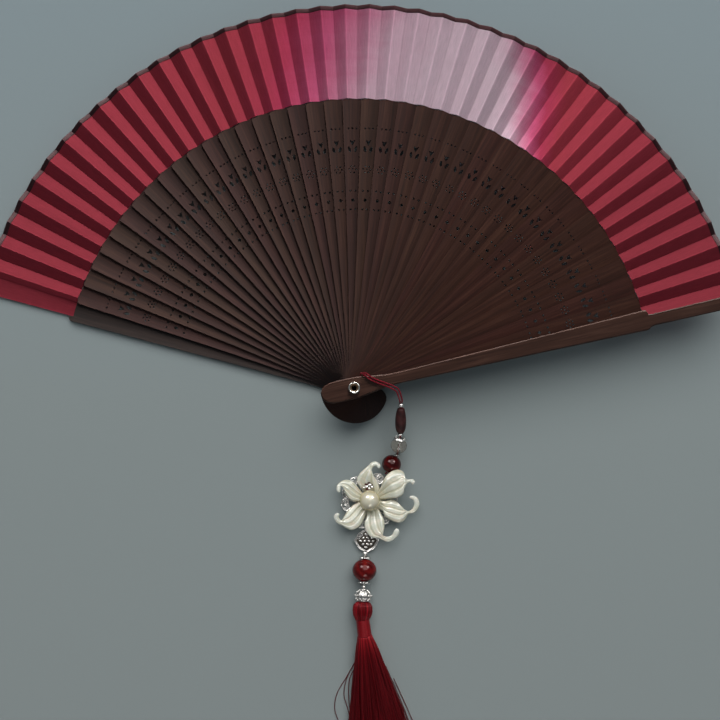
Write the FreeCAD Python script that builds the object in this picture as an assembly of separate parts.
import FreeCAD, Part
import os
from math import cos, pi, radians, sin

# Folding fan, open, with a beaded strand, a flower and a tassel hanging from its rivet.
# The rivet stands on the Z axis. The sticks lie flat and fan out into +Y, from the front guard
# (highest, next to +X) round to the rear guard (underside at Z = 0, next to -X).
# The strand and its ornaments hang towards -Y. Millimetres and degrees.

Vector = FreeCAD.Vector
os.makedirs("parts", exist_ok=True)

# ---------------------------------------------------------------- driving dimensions
N_RIBS = 40               # inner sticks between the two guards
PITCH = 3.683             # angle between neighbouring sticks
FRONT_ANGLE = 13.1        # front guard's centre line, from +X

RIB_T = 0.46              # stick thickness
RIB_STEP = 0.52           # height from one stick to the next
GUARD_T = 3.0             # guard thickness at the head and blade
GUARD_LEAF_T = 1.5        # guard thickness where it backs the leaf
CORD_GAP = 1.10           # room under the front guard for the cord round the rivet
HEAD_END = 16.6           # end of sticks and guards beyond the rivet

SHANK_R = 1.60            # rivet shank
HOLE_R = 1.65             # rivet hole in every head
FLANGE_R = 2.9            # rivet flange at the back
FLANGE_T = 0.9

CORD_R = 0.42             # cord loop and strand cord
BEAD_BORE_R = 0.48        # bore of the beads that turn on the cord

# ---------------------------------------------------------------- derived heights
RIB_Z0 = GUARD_T + 0.06                                   # underside of the lowest stick
RIB_TOP = RIB_Z0 + (N_RIBS - 1) * RIB_STEP + RIB_T        # top of the highest stick
FRONT_Z = RIB_TOP + CORD_GAP                              # underside of the front guard
TOP_Z = FRONT_Z + GUARD_T


# ================================================================ helpers
def rib_angle(i):
    """Angle of stick i: 0 is the front guard, N_RIBS + 1 the rear guard."""
    return FRONT_ANGLE + PITCH * i


def rib_z(i):
    """Underside of stick i."""
    return RIB_Z0 + (N_RIBS - i) * RIB_STEP


def save(shape, name):
    shape.exportStep("parts/" + name + ".step")


def unit(vector):
    """The vector's direction, with length 1."""
    direction = Vector(vector)
    direction.normalize()
    return direction


def polar(radius, angle, z=0.0):
    """Point at a radius and an angle in degrees round the Z axis."""
    return Vector(radius * cos(radians(angle)), radius * sin(radians(angle)), z)


def face(points):
    """Flat face inside a closed outline."""
    return Part.Face(Part.makePolygon(points + [points[0]]))


def quad(a, b, c, d):
    return [(a, b, c), (a, c, d)]


def bands(rings):
    """Triangles of the closed bands between successive rings of points."""
    count = len(rings[0])
    tris = []
    for a, b in zip(rings, rings[1:]):
        for k in range(count):
            k2 = (k + 1) % count
            tris += quad(a[k], a[k2], b[k2], b[k])
    return tris


def end_caps(start, end, rings):
    """Triangles that close the first and last rings round two centres."""
    first, last = rings[0], rings[-1]
    tris = []
    for k in range(len(first)):
        k2 = (k + 1) % len(first)
        tris.append((start, first[k2], first[k]))
        tris.append((end, last[k], last[k2]))
    return tris


def tri_faces(tris):
    """Faces of the triangles, leaving out those without area."""
    return [face([a, b, c]) for a, b, c in tris if (b - a).cross(c - a).Length >= 1e-9]


def closed_solid(faces):
    """Solid inside a closed set of faces, turned so that its volume is positive."""
    solid = Part.Solid(Part.Shell(faces))
    if solid.Volume < 0:
        solid.reverse()
    return solid


def tube(points, radius, sides):
    """Cord of flat facets swept along a line of points, ends capped."""
    last = len(points) - 1
    side = None
    rings = []
    for i, point in enumerate(points):
        direction = unit(points[min(i + 1, last)] - points[max(i - 1, 0)])
        if side is None:
            side = Vector(1, 0, 0) if abs(direction.z) > 0.9 else Vector(0, 0, 1)
        side = unit(side - direction * side.dot(direction))
        across = direction.cross(side)
        ring = []
        for k in range(sides):
            turn = 2 * pi * k / sides
            ring.append(point + side * (radius * cos(turn)) + across * (radius * sin(turn)))
        rings.append(ring)
    return closed_solid(tri_faces(bands(rings) + end_caps(points[0], points[-1], rings)))


def smooth(points, steps):
    """Points of a Catmull-Rom curve through the given points."""
    curve = []
    last = len(points) - 1
    for i in range(last):
        before, start, end = points[max(i - 1, 0)], points[i], points[i + 1]
        after = points[min(i + 2, last)]
        for step in range(steps):
            t = step / steps
            curve.append((start * 2 + (end - before) * t
                          + (before * 2 - start * 5 + end * 4 - after) * t * t
                          + (start * 3 - before - end * 3 + after) * t ** 3) * 0.5)
    curve.append(points[-1])
    return curve


def along(shape, origin, direction):
    """Places a shape built on +Z at the origin, so that it stands at a point along a direction."""
    placed = shape.copy()
    placed.Placement = FreeCAD.Placement(origin, FreeCAD.Rotation(Vector(0, 0, 1), direction))
    return placed


def turned(profile):
    """Solid turned round Z from (radius, height) points."""
    outline = face([Vector(radius, 0, z) for radius, z in profile])
    return outline.revolve(Vector(0, 0, 0), Vector(0, 0, 1), 360)


def bead(profile, bore):
    """Turned bead on +Z from (height, radius) points, with its bore."""
    outside = [(radius, z) for z, radius in profile]
    return turned([(bore, profile[0][0])] + outside + [(bore, profile[-1][0])])


def ball_profile(radius, half, bore, steps=12):
    """Profile of a round bead with flat ends where the bore comes out."""
    start = bore * 1.25 / radius
    profile = []
    for k in range(steps + 1):
        angle = start + (pi - 2 * start) * k / steps
        profile.append((-half * cos(angle), radius * sin(angle)))
    return profile


# ================================================================ sticks
SHOULDER_R = 145.75       # where the wide blade stops and the tongue starts
TONGUE_END = 188.0
TONGUE_HALF = 1.15

# (distance from the rivet, half-width); negative distances lie beyond the rivet
HEAD_HALF = [(-16.25, 1.6), (-15.2, 3.15), (-13.6, 4.3), (-11.4, 5.0), (-8.0, 5.25), (-3.0, 5.25)]
RIB_HALF = [(-HEAD_END, 0.0)] + HEAD_HALF + [
    (1.5, 5.0), (6.0, 4.3), (10.5, 3.35), (15.0, 2.65), (20.0, 2.45), (32.0, 2.4), (46.0, 2.5),
    (60.0, 2.66), (75.0, 2.95), (95.0, 3.45), (118.0, 4.05), (136.0, 4.62), (144.4, 4.84),
    (145.2, 4.7), (145.6, 4.2), (SHOULDER_R, 3.4),
    (145.85, 1.7), (147.6, 1.35), (150.0, TONGUE_HALF), (186.5, TONGUE_HALF), (TONGUE_END, 0.6)]

# openwork of the blade, as (x, y) along and across the stick
ROSETTE_X, ROSETTE_R, ROSETTE_DOT_R = 110.3, 1.75, 0.42
ROSETTE = [polar(ROSETTE_R, 60 * k + 25) for k in range(6)] + [Vector(0, 0, 0)]
TULIP = [(125.1, -1.3), (124.5, 0.0), (125.1, 1.3), (123.6, 0.75), (122.2, 0.0), (123.6, -0.75)]
DIAMOND = [(93.7, 0), (94.75, -0.95), (95.8, 0), (94.75, 0.95)]
PETAL_X, PETAL_Y, PETAL_TILT = 120.4, 1.55, 16
PETAL_LENGTH, PETAL_WIDTH = 3.0, 1.35


def dot_cut(x, y, radius):
    return Part.makeCylinder(radius, RIB_T + 2, Vector(x, y, -1))


def prism_cut(points):
    return face([Vector(x, y, -1) for x, y in points]).extrude(Vector(0, 0, RIB_T + 2))


def petal_cut(side):
    """Oval opening on the +y (1) or -y (-1) side of the centre line."""
    tilt = radians(side * PETAL_TILT)
    points = []
    for k in range(14):
        turn = 2 * pi * k / 14
        x, y = 0.5 * PETAL_LENGTH * cos(turn), 0.5 * PETAL_WIDTH * sin(turn)
        points.append((PETAL_X + x * cos(tilt) - y * sin(tilt),
                       side * PETAL_Y + x * sin(tilt) + y * cos(tilt)))
    return prism_cut(points)


def make_stick():
    """Stick along +X with its underside at Z = 0."""
    upper = [Vector(x, half, 0) for x, half in RIB_HALF]
    lower = [Vector(x, -half, 0) for x, half in reversed(RIB_HALF[1:])]
    blade = face(upper + lower).extrude(Vector(0, 0, RIB_T))
    cuts = [dot_cut(0, 0, HOLE_R)]
    cuts += [dot_cut(131.0, y, 0.45) for y in (-2.0, 0.0, 2.0)]
    cuts.append(prism_cut(TULIP))
    cuts += [petal_cut(side) for side in (1, -1)]
    cuts += [dot_cut(ROSETTE_X + dot.x, dot.y, ROSETTE_DOT_R) for dot in ROSETTE]
    cuts += [dot_cut(99.4, y, 0.5) for y in (-1.25, 1.25)]
    cuts.append(prism_cut(DIAMOND))
    cuts += [dot_cut(90.1, y, 0.48) for y in (-1.15, 1.15)]
    return blade.cut(Part.makeCompound(cuts)).Solids[0]


stick = make_stick()
for i in range(1, N_RIBS + 1):
    rib = stick.copy()
    rib.rotate(Vector(0, 0, 0), Vector(0, 0, 1), rib_angle(i))
    rib.translate(Vector(0, 0, rib_z(i)))
    save(rib, "rib_%02d" % i)

# ================================================================ guards
GUARD_BEVEL = 0.45
RELIEF_X = 145.8          # start of the thin part that backs the leaf

# (distance from the rivet, half-width), shared by both sides, then each side's own tip
GUARD_HALF = HEAD_HALF + [
    (2.0, 5.05), (7.0, 4.4), (12.0, 3.5), (17.0, 2.85), (24.0, 2.75), (60.0, 3.35),
    (95.0, 3.95), (130.0, 4.6), (146.0, 4.9), (147.0, 4.7)]
GUARD_PLUS_Y = [(-HEAD_END, 0.0)] + GUARD_HALF + [
    (147.6, 4.1), (148.0, 2.5), (150.0, 2.3), (193.2, 2.7), (194.0, 2.3), (194.2, 1.4)]
GUARD_MINUS_Y = GUARD_HALF + [
    (147.8, 3.9), (150.0, 3.45), (193.2, 3.75), (194.0, 3.3), (194.2, 2.4)]


def guard_side(table, sign, inset, z):
    """One side of the guard's outline, drawn in by an inset."""
    points = []
    for x, half in table:
        if x < -15:
            x += inset
        elif x > 193:
            x -= inset
        points.append(Vector(x, sign * max(half - inset, 0.0), z))
    return points


def make_guard(levels, relief_z):
    """Guard along +X from its (inset, height) levels, thinned and drilled."""
    rings = []
    for inset, z in levels:
        minus_side = guard_side(GUARD_MINUS_Y, -1, inset, z)
        rings.append(guard_side(GUARD_PLUS_Y, 1, inset, z) + minus_side[::-1])
    guard = closed_solid([face(rings[0]), face(rings[-1])] + tri_faces(bands(rings)))
    relief = Part.makeBox(60, 30, GUARD_T - GUARD_LEAF_T, Vector(RELIEF_X, -15, relief_z))
    guard = guard.cut(relief)
    return guard.cut(Part.makeCylinder(HOLE_R, 10, Vector(0, 0, -1)))


def make_front_guard():
    """Front guard, bevelled on top and thinned from below."""
    guard = make_guard([(0.0, 0.0), (0.0, GUARD_T - GUARD_BEVEL), (GUARD_BEVEL, GUARD_T)], 0)
    guard.rotate(Vector(0, 0, 0), Vector(0, 0, 1), FRONT_ANGLE)
    guard.translate(Vector(0, 0, FRONT_Z))
    return guard.Solids[0]


def make_rear_guard():
    """Rear guard, bevelled below and thinned from above, with a recess for the rivet flange."""
    guard = make_guard([(GUARD_BEVEL, 0.0), (0.0, GUARD_BEVEL), (0.0, GUARD_T)], GUARD_LEAF_T)
    guard = guard.cut(Part.makeCylinder(FLANGE_R + 0.06, FLANGE_T + 0.05, Vector(0, 0, 0)))
    guard.rotate(Vector(0, 0, 0), Vector(0, 0, 1), rib_angle(N_RIBS + 1))
    return guard.Solids[0]


save(make_front_guard(), "front_guard")
save(make_rear_guard(), "rear_guard")

# ================================================================ rivet
RIVET_BORE_R = 1.05       # hollow of the rivet
CAP_T = 0.5               # thin cap that closes its back end

# (radius, height): flange, shank, rolled front rim, hollow
RIVET_PROFILE = [
    (0.0, 0.0), (FLANGE_R, 0.0), (FLANGE_R, FLANGE_T), (SHANK_R, FLANGE_T),
    (SHANK_R, TOP_Z + 0.03), (FLANGE_R, TOP_Z + 0.03), (FLANGE_R + 0.1, TOP_Z + 0.35),
    (FLANGE_R - 0.25, TOP_Z + 0.8), (FLANGE_R - 0.95, TOP_Z + 1.05),
    (RIVET_BORE_R + 0.75, TOP_Z + 0.85), (RIVET_BORE_R, TOP_Z + 0.2),
    (RIVET_BORE_R, CAP_T), (0.0, CAP_T)]
save(turned(RIVET_PROFILE), "pivot_eyelet")

# ================================================================ pleated leaf
LEAF_IN = 146.0           # leaf's inner edge
LEAF_OUT = 193.0          # leaf's outer edge, inside the binding
LEAF_T = 0.20
LEAF_LIFT = 0.88          # leaf's middle surface above the top of the tongue
FOLD_SLOPE = 0.0075       # fold height above the mean surface, per mm of radius
PANEL_GAP = 0.35          # end panel's middle surface from the guard's thin part
BIND_IN = 190.9           # edge binding
BIND_OUT = 193.6
BIND_T = 0.17
BIND_WEB = 0.3            # binding's thickness round the outer edge


def fold_lines():
    """Fold lines from the front guard to the rear guard: (angle, mean height, fold sign)."""
    quarter = PITCH / 4
    front_z = TOP_Z - GUARD_LEAF_T - PANEL_GAP
    rear_z = GUARD_LEAF_T + PANEL_GAP
    rear_angle = rib_angle(N_RIBS + 1)
    lines = [(FRONT_ANGLE - quarter, front_z, 0.0), (FRONT_ANGLE + quarter, front_z, 0.0)]
    for i in range(1, N_RIBS + 1):
        mean_z = rib_z(i) + RIB_T + LEAF_LIFT
        lines.append((rib_angle(i) - quarter, mean_z, -1.0))
        lines.append((rib_angle(i) + quarter, mean_z, 1.0))
    lines.append((rear_angle - 2 * quarter, rear_z, 0.0))
    lines.append((rear_angle + quarter, rear_z, 0.0))
    return lines


def pleated(section, end_quads):
    """Sweeps a closed (radius, height) section across the fold lines.

    end_quads lists the section's corners, four by four, that close each end.
    """
    rings = []
    for angle, z, sign in fold_lines():
        rings.append([polar(r, angle, z + sign * FOLD_SLOPE * r + dz) for r, dz in section])
    tris = bands(rings)
    for ring in (rings[0], rings[-1]):
        for corners in end_quads:
            tris += quad(*[ring[k] for k in corners])
    return closed_solid(tri_faces(tris))


def make_leaf():
    half = LEAF_T / 2
    section = [(LEAF_IN, -half), (LEAF_OUT, -half), (LEAF_OUT, half), (LEAF_IN, half)]
    return pleated(section, [(0, 1, 2, 3)])


def make_binding():
    """Channel that wraps the leaf's outer edge."""
    inside = LEAF_T / 2 + 0.04
    outside = inside + BIND_T
    web = BIND_OUT - BIND_WEB
    section = [(BIND_IN, -outside), (BIND_OUT, -outside), (BIND_OUT, outside), (BIND_IN, outside),
               (BIND_IN, inside), (web, inside), (web, -inside), (BIND_IN, -inside)]
    return pleated(section, [(0, 1, 6, 7), (1, 2, 5, 6), (2, 3, 4, 5)])


save(make_leaf(), "silk_leaf")
save(make_binding(), "leaf_edge_binding")

# ================================================================ cord loop round the rivet
UNDER_Z = RIB_TOP + CORD_GAP / 2 + 0.02       # cord under the front guard
OVER_Z = TOP_Z + CORD_R + 0.06                # cord over the front guard
LOOP_R = SHANK_R + CORD_R + 0.16              # turn round the shank
LOOP_ARC = (62, 332)                          # its start and end, from the guard's centre line
LOOP_END = Vector(22.9, -7.0, 20.3)           # where both legs meet the strand

# (along the guard, across the guard, height) of the two legs, from the strand to the rivet
NEAR_LEG = [
    (19.6, -6.4, 26.6), (17.6, -4.4, OVER_Z - 0.12), (15.2, -2.6, OVER_Z + 0.02),
    (11.5, -0.2, OVER_Z), (8.4, 2.2, OVER_Z), (6.9, 4.3, OVER_Z), (5.9, 5.6, OVER_Z - 0.04),
    (5.2, 6.15, TOP_Z - 0.7), (4.8, 6.25, FRONT_Z + 0.9), (4.3, 5.4, UNDER_Z + 0.03),
    (3.5, 3.9, UNDER_Z)]
FAR_LEG = [
    (20.9, -5.6, 26.6), (18.9, -3.6, OVER_Z - 0.12), (16.4, -1.8, OVER_Z + 0.02),
    (12.6, 0.7, OVER_Z), (9.6, 2.9, OVER_Z), (8.1, 4.5, OVER_Z), (7.3, 5.6, OVER_Z - 0.04),
    (6.6, 6.05, TOP_Z - 0.7), (6.1, 6.15, FRONT_Z + 0.9), (5.6, 4.3, UNDER_Z + 0.03),
    (4.2, 1.2, UNDER_Z)]


def on_guard(x, y, z):
    """A point given along and across the front guard."""
    turn = radians(FRONT_ANGLE)
    return Vector(x * cos(turn) - y * sin(turn), x * sin(turn) + y * cos(turn), z)


def make_cord_loop():
    near = [LOOP_END + Vector(-0.45, 0.3, 0), Vector(22.0, -5.3, 23.9)]
    near += [on_guard(*point) for point in NEAR_LEG]
    far = [LOOP_END + Vector(0.45, 0.3, 0), Vector(23.2, -4.9, 23.9)]
    far += [on_guard(*point) for point in FAR_LEG]
    start, end = LOOP_ARC
    arc = []
    for k in range(15):
        arc.append(polar(LOOP_R, FRONT_ANGLE + start + (end - start) * k / 14, UNDER_Z))
    turn = smooth([near[-1]] + arc + [far[-1]], 2)[1:-1]
    return tube(smooth(near, 5) + turn + smooth(far, 5)[::-1], CORD_R, 10)


save(make_cord_loop(), "cord_loop")

# ================================================================ strand with its beads
# three straight runs: barrel bead, clear bead, round bead
STRAND_TOP = Vector(22.9, -7.7, 19.4)
BEND_1 = Vector(22.8, -22.9, 11.9)
BEND_2 = Vector(21.2, -32.3, 7.0)
STRAND_END = Vector(15.5, -41.1, 4.9)
BARREL_DIR = unit(BEND_1 - STRAND_TOP)
CRYSTAL_DIR = unit(BEND_2 - BEND_1)
ROUND_DIR = unit(STRAND_END - BEND_2)
BEND_CUT = 0.15           # the cord cuts each bend's corner by this much on both runs

BARREL_C = STRAND_TOP + BARREL_DIR * 8.4
CRYSTAL_C = BEND_1 + CRYSTAL_DIR * 5.1
ROUND_C = BEND_2 + ROUND_DIR * 5.1
FITTING_BORE_R = 0.44

BARREL_PROFILE = [             # (height, radius)
    (-6.6, 1.1), (-6.3, 1.6), (-4.9, 2.0), (-2.4, 2.3), (0.4, 2.5),
    (3.0, 2.55), (5.0, 2.3), (6.3, 1.7), (6.6, 1.1)]
CRYSTAL_LEVELS = [             # (height, radius)
    (-3.6, 1.5), (-2.5, 3.1), (-0.9, 4.0), (0.9, 4.0), (2.5, 3.1), (3.6, 1.5)]
CRYSTAL_SIDES = 12

# (profile of (height, radius) points, start of the run, direction, distance along the run)
UPPER_FITTINGS = [
    (ball_profile(1.35, 1.2, FITTING_BORE_R, 8), STRAND_TOP, BARREL_DIR, 0.25),  # at the loop
    ([(0.0, 1.2), (0.45, 1.55), (0.9, 1.2)], STRAND_TOP, BARREL_DIR, 15.15),  # under the barrel
    ([(0.0, 1.3), (0.35, 2.4), (0.6, 2.5), (0.75, 1.6)],
     BEND_1, CRYSTAL_DIR, 0.45),                                # cap over the clear bead
    ([(0.0, 1.0), (0.35, 1.5), (0.75, 1.0)], BEND_1, CRYSTAL_DIR, 9.7)]       # spacer


def make_strand_cord():
    points = [STRAND_TOP + BARREL_DIR * 0.2,
              BEND_1 - BARREL_DIR * BEND_CUT, BEND_1 + CRYSTAL_DIR * BEND_CUT,
              BEND_2 - CRYSTAL_DIR * BEND_CUT, BEND_2 + ROUND_DIR * BEND_CUT,
              STRAND_END + ROUND_DIR * 0.6]
    return tube(points, CORD_R, 12)


def make_crystal():
    """Faceted bead: every other ring of corners is turned by half a facet."""
    facet = 360 / CRYSTAL_SIDES
    rings = []
    for j, (z, radius) in enumerate(CRYSTAL_LEVELS):
        turn = 0.5 * (j % 2)
        rings.append([polar(radius, facet * (k + turn), z) for k in range(CRYSTAL_SIDES)])
    tris = []
    for j, (a, b) in enumerate(zip(rings, rings[1:])):
        for k in range(CRYSTAL_SIDES):
            k2 = (k + 1) % CRYSTAL_SIDES
            if j % 2 == 0:
                tris += [(a[k], a[k2], b[k]), (b[k], a[k2], b[k2])]
            else:
                tris += [(a[k], b[k2], b[k]), (a[k], a[k2], b[k2])]
    ends = [Vector(0, 0, CRYSTAL_LEVELS[j][0]) for j in (0, -1)]
    solid = closed_solid(tri_faces(tris + end_caps(ends[0], ends[1], rings)))
    return solid.cut(Part.makeCylinder(BEAD_BORE_R, 20, Vector(0, 0, -10))).Solids[0]


save(make_strand_cord(), "strand_cord")
save(along(bead(BARREL_PROFILE, BEAD_BORE_R), BARREL_C, BARREL_DIR), "barrel_bead")
save(along(make_crystal(), CRYSTAL_C, CRYSTAL_DIR), "crystal_bead")
round_bead = bead(ball_profile(4.8, 4.65, BEAD_BORE_R), BEAD_BORE_R)
save(along(round_bead, ROUND_C, ROUND_DIR), "upper_round_bead")
fittings = [along(bead(profile, FITTING_BORE_R), start + direction * distance, direction)
            for profile, start, direction, distance in UPPER_FITTINGS]
save(Part.makeCompound(fittings), "upper_silver_fittings")

# ================================================================ flower
FLOWER_C = Vector(7.6, -54.5, 0)
BACK_R, BACK_Z, BACK_T = 15.6, 3.1, 1.0       # filigree plate
BACK_HOLES = [(24, 13.4, 0.0, 1.35), (12, 9.6, 0.5, 1.5)]  # (count, row radius, shift, hole radius)
PETAL_T = 2.2
PETAL_Z = BACK_Z + BACK_T + 0.05
PETAL_STEP = 0.11         # each petal starts this much higher than the one before
PETAL_THINNING = 0.07     # and is this much thinner
HUB_R, HUB_T = 5.37, 1.3
PEARL_R = 5.15
PEARL_C = FLOWER_C + Vector(0, 0, PETAL_Z + PETAL_T + PEARL_R - 0.85)
SWING_C = Vector(14.3, -42.4, 0)              # point the flower swings about
SWING_ANGLES = (-11, 0, 11)
SWING_ROOM_R = 5.15       # room kept round the round bead
CLAW_R = 0.85
CLAW_XY = [(-2.1, 6.9), (-0.75, 7.3), (0.6, 6.9)]          # from the flower's centre

# each petal: (x, y) of its two long edges from root to curled tip, from the flower's centre
PETALS = [
    ([(-1.90, 1.58), (-3.16, 4.74), (-6.33, 9.17), (-5.22, 12.97), (-2.85, 15.50), (-0.63, 17.40),
      (0.95, 18.98), (3.16, 19.36), (5.22, 18.03), (5.44, 16.70)],
     [(2.60, 1.10), (5.06, 5.38), (3.80, 9.17), (2.06, 12.34), (1.11, 14.87), (1.42, 16.13),
      (2.37, 16.92), (3.16, 16.92), (3.95, 15.97), (4.74, 15.82)]),
    ([(1.90, 1.58), (3.16, 2.85), (5.69, 7.28), (7.28, 11.07), (9.49, 13.60), (12.65, 15.12),
      (15.50, 15.03), (17.24, 13.29), (17.78, 11.07), (19.30, 10.50), (21.35, 10.60),
      (22.52, 9.33)],
     [(2.53, -0.95), (3.80, 0.00), (8.22, 0.79), (12.02, 1.20), (14.87, 1.90), (16.61, 3.48),
      (17.24, 6.01), (18.51, 8.22), (19.61, 9.02), (20.40, 8.54), (21.35, 7.75)]),
    ([(1.90, 0.95), (3.16, 0.79), (7.28, -0.16), (10.44, 0.63), (13.29, -0.32), (15.50, -2.53),
      (17.56, -4.59), (19.30, -5.06), (21.04, -3.95), (21.98, -1.90), (21.67, 0.00),
      (20.56, 0.95), (19.61, 1.27)],
     [(1.27, -2.21), (2.85, -3.48), (6.33, -5.06), (7.59, -7.59), (9.81, -9.33), (12.65, -10.60),
      (15.50, -10.76), (17.56, -9.17), (19.14, -6.80), (22.14, -6.01), (24.20, -3.48),
      (24.67, -0.95), (23.57, 1.42), (21.67, 2.47), (19.93, 2.28)]),
    ([(-1.27, -1.58), (-1.58, -3.48), (-1.58, -7.91), (-2.47, -10.76), (-2.21, -13.92),
      (-0.79, -16.61), (1.27, -18.35), (4.11, -18.51), (6.33, -19.45), (8.86, -20.40),
      (11.39, -19.68), (13.60, -17.87), (14.80, -15.66), (14.23, -13.98)],
     [(1.90, -1.58), (2.85, -2.85), (4.74, -4.59), (5.85, -6.64), (7.02, -9.17), (7.34, -12.34),
      (6.71, -15.82), (6.48, -16.92), (7.59, -17.56), (9.02, -17.71), (11.07, -16.77),
      (11.86, -15.03), (12.97, -13.67)]),
    ([(-1.90, 0.95), (-3.16, 0.63), (-6.01, -0.95), (-8.22, -2.21), (-10.12, -4.11),
      (-12.02, -6.64), (-13.67, -9.43), (-14.49, -9.33), (-15.25, -8.07), (-14.80, -6.64),
      (-15.66, -6.17)],
     [(0.00, -2.21), (0.00, -3.48), (-1.27, -5.69), (-2.53, -8.54), (-4.43, -12.02),
      (-6.96, -13.98), (-9.49, -14.46), (-12.02, -13.35), (-13.92, -12.18), (-15.66, -11.39),
      (-17.08, -9.96), (-17.71, -8.22), (-17.24, -6.64), (-16.13, -6.01)]),
    ([(-1.27, 1.58), (-1.90, 2.21), (-4.43, 4.74), (-6.33, 7.28), (-8.22, 9.17), (-10.76, 10.28),
      (-13.29, 9.96), (-15.44, 8.54), (-16.45, 6.64), (-16.20, 4.74), (-15.34, 3.86)],
     [(-1.27, -0.95), (-2.53, -0.95), (-6.01, -0.47), (-7.91, -0.32), (-10.12, 0.89),
      (-11.96, 3.32), (-12.65, 5.69), (-13.44, 7.28), (-14.17, 6.96), (-14.39, 5.38),
      (-14.61, 4.27)]),
]


def make_backing():
    """Pierced plate with its hanging eye towards the strand."""
    plate = Part.makeCylinder(BACK_R, BACK_T, FLOWER_C + Vector(0, 0, BACK_Z))
    holes = []
    for count, row_radius, shift, radius in BACK_HOLES:
        for k in range(count):
            centre = FLOWER_C + polar(row_radius, 360 * (k + shift) / count, -1)
            holes.append(Part.makeCylinder(radius, BACK_Z + BACK_T - 0.1, centre))
    plate = plate.cut(Part.makeCompound(holes))
    eye = Part.makeCylinder(2.0, 1.3, Vector(12.8, -43.9, 2.8))
    eye = eye.fuse(Part.makeBox(2.2, 5.0, 0.9, Vector(11.2, -48.5, 3.15)))
    return plate.fuse(eye).Solids[0]


def hull(points):
    """Convex outline round a set of (x, y) points."""
    ordered = sorted(set(points))
    outline = []
    for sequence in (ordered, ordered[::-1]):
        row = []
        for x, y in sequence:
            while len(row) > 1:
                (x0, y0), (x1, y1) = row[-2:]
                if (x1 - x0) * (y - y0) - (y1 - y0) * (x - x0) > 1e-9:
                    break
                row.pop()
            row.append((x, y))
        outline += row[:-1]
    return outline


def bead_room():
    """Room for the upper round bead under a petal, through the flower's swing."""
    arm = Vector(ROUND_C.x, ROUND_C.y, 0) - SWING_C
    cloud = []
    for angle in SWING_ANGLES:
        c, s = cos(radians(angle)), sin(radians(angle))
        centre = SWING_C + Vector(arm.x * c - arm.y * s, arm.x * s + arm.y * c, 0)
        for k in range(16):
            point = centre + polar(SWING_ROOM_R, 360 * k / 16)
            cloud.append((point.x, point.y))
    return face([Vector(x, y, 0) for x, y in hull(cloud)]).extrude(Vector(0, 0, 20))


def make_flower():
    """Six lapping petals on a hub, with the seat of the pearl."""
    flower = None
    for k, (first_edge, second_edge) in enumerate(PETALS):
        base = FLOWER_C + Vector(0, 0, PETAL_Z + PETAL_STEP * k)
        outline = face([base + Vector(x, y, 0) for x, y in first_edge + second_edge[::-1]])
        petal = outline.extrude(Vector(0, 0, PETAL_T - PETAL_THINNING * k))
        flower = petal if flower is None else flower.fuse(petal)
    flower = flower.cut(bead_room())
    hub = Part.makeCylinder(HUB_R, HUB_T, FLOWER_C + Vector(0, 0, PETAL_Z + 0.05))
    flower = flower.fuse(hub)
    flower = flower.cut(Part.makeSphere(PEARL_R + 0.04, PEARL_C))
    return flower.Solids[0] if len(flower.Solids) == 1 else flower


save(make_backing(), "flower_backing")
save(make_flower(), "shell_flower")
save(Part.makeSphere(PEARL_R, PEARL_C), "centre_pearl")
claw = [Part.makeSphere(CLAW_R, FLOWER_C + Vector(x, y, PETAL_Z + PETAL_T + 0.90))
        for x, y in CLAW_XY]
save(Part.makeCompound(claw), "pearl_claw")

# ================================================================ drop, round bead, fittings
DROP_C = Vector(6.1, -74.3, 1.9)
DROP_FLATTENING = 0.30
DROP_PROFILE = [               # (height, radius)
    (-5.5, 1.4), (-4.9, 3.0), (-3.2, 4.9), (-1.2, 5.8),
    (1.2, 5.8), (3.2, 4.9), (4.9, 3.0), (5.5, 1.4)]
LOWER_DIR = unit(Vector(-0.048, -0.99885, 0))
PIN_Z = 6.15
PIN_START = Vector(5.5, -79.0, PIN_Z)
PIN_R = 0.50              # silver pin of the lower fittings
PIN_BORE_R = 0.56         # bore of the round bead on it

# (profile of (height, radius) points, distance along the pin)
LOWER_FITTINGS = [
    (ball_profile(1.3, 1.2, PIN_R, 8), 1.55),                              # small bead
    ([(0.0, 1.2), (0.5, 2.3), (0.9, 2.75), (1.15, 2.2)], 2.85),            # cap
    ([(0.0, 2.3), (0.25, 3.0), (0.7, 2.6), (1.2, 1.2)], 15.6),             # cap
    (ball_profile(1.2, 1.0, PIN_R, 8), 17.9),                              # small bead
    ([(0.0, 1.3), (0.5, 2.3), (1.6, 3.3), (3.2, 4.0), (4.6, 3.7), (5.8, 3.0)], 19.0)]  # big cap


def on_pin(distance):
    return PIN_START + LOWER_DIR * distance


def make_drop():
    """Flattened drop pierced by a ring of six holes."""
    drop = bead(DROP_PROFILE, 1.0)
    flatten = FreeCAD.Matrix()
    flatten.A22 = DROP_FLATTENING
    drop = drop.transformGeometry(flatten)
    holes = []
    for k in range(6):
        spot = polar(3.3, 60 * (k + 0.5))
        start = Vector(spot.x, -10, spot.y)
        holes.append(Part.makeCylinder(1.25, 20, start, Vector(0, 1, 0)))
    drop = drop.cut(Part.makeCompound(holes))
    rotation = FreeCAD.Rotation(Vector(1, 0, 0), Vector(0, 0, 1), LOWER_DIR, "ZXY")
    drop.Placement = FreeCAD.Placement(DROP_C, rotation)
    return drop.Solids[0]


save(make_drop(), "filigree_drop")
fittings = [Part.makeCylinder(PIN_R, 27.0, on_pin(0.2), LOWER_DIR)]
fittings += [along(bead(profile, PIN_R + 0.01), on_pin(distance), LOWER_DIR)
             for profile, distance in LOWER_FITTINGS]
save(Part.makeCompound(fittings), "lower_silver_fittings")
round_bead = bead(ball_profile(6.0, 5.6, PIN_BORE_R), PIN_BORE_R)
save(along(round_bead, on_pin(9.8), LOWER_DIR), "lower_round_bead")

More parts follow.
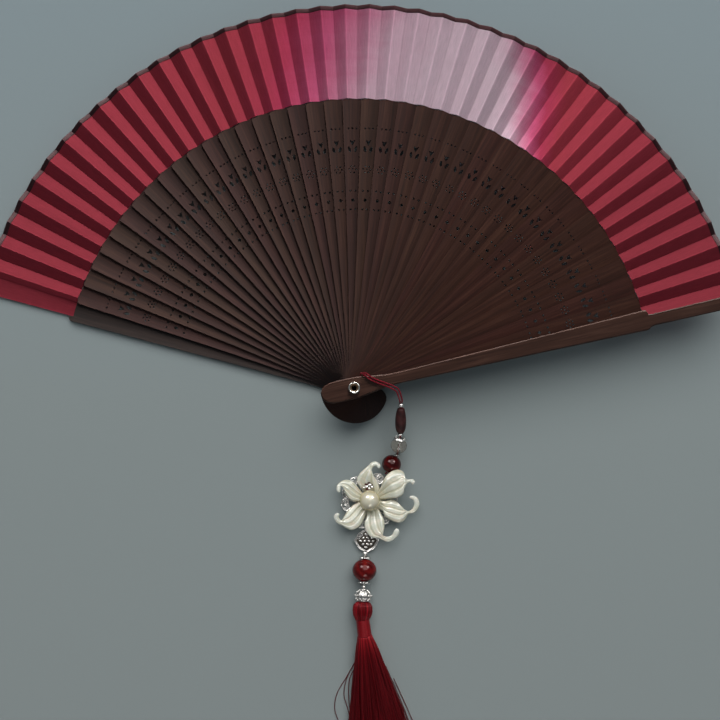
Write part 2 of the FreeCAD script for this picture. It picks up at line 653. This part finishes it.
# ================================================================ tassel
HEAD_BORE_R = 0.6
HEAD_PROFILE = [               # (height, radius)
    (0.0, 2.6), (0.6, 4.0), (2.0, 4.9), (4.2, 5.05), (6.6, 4.6), (8.0, 3.8), (8.6, 3.2)]
NECK_START = on_pin(32.4)
NECK_DIR = unit(Vector(0.13, -0.9915, 0))     # the bound neck leans a little
NECK_R, NECK_L = 3.6, 10.3
SKIRT_START = NECK_START + NECK_DIR * (NECK_L + 0.15)
SKIRT_DIR = unit(Vector(0.144, -0.9896, 0))
SKIRT_SIDE = Vector(-SKIRT_DIR.y, SKIRT_DIR.x, 0)
SKIRT_SETTLE = 20.0       # length over which the skirt sinks from the pin's height to Z = 0
SKIRT_SIDES = 24
SKIRT = [                      # (distance along the skirt, half-width, half-height)
    (0.0, 3.85, 3.4), (3.0, 5.0, 3.7), (8.0, 6.3, 4.0), (14.0, 7.7, 4.0), (24.0, 10.2, 3.8),
    (34.0, 12.4, 3.5), (44.0, 14.3, 3.2), (65.0, 17.6, 2.7), (85.0, 20.0, 2.2)]


def make_tassel_head():
    head = along(bead(HEAD_PROFILE, HEAD_BORE_R), on_pin(25.4), LOWER_DIR)
    head = head.fuse(Part.makeCylinder(NECK_R, NECK_L, NECK_START, NECK_DIR))
    return head.cut(Part.makeCylinder(HEAD_BORE_R, 3.5, on_pin(25.0), LOWER_DIR)).Solids[0]


def make_skirt():
    """Skirt of oval sections that widens and flattens away from the neck."""
    rings = []
    for distance, half_width, half_height in SKIRT:
        centre = SKIRT_START + SKIRT_DIR * distance
        centre.z = PIN_Z - (PIN_Z - half_height) * min(1.0, distance / SKIRT_SETTLE)
        ring = []
        for k in range(SKIRT_SIDES):
            spot = polar(1, 360 * k / SKIRT_SIDES)
            across = SKIRT_SIDE * (half_width * spot.x)
            ring.append(centre + across + Vector(0, 0, half_height * spot.y))
        rings.append(ring)
    tris = bands(rings)
    for ring in (rings[0], rings[-1]):
        centre = Vector(0, 0, 0)
        for point in ring:
            centre += point
        centre = centre * (1 / SKIRT_SIDES)
        for k in range(SKIRT_SIDES):
            tris.append((centre, ring[k], ring[(k + 1) % SKIRT_SIDES]))
    return closed_solid(tri_faces(tris))


save(make_tassel_head(), "tassel_head")
save(make_skirt(), "tassel_skirt")
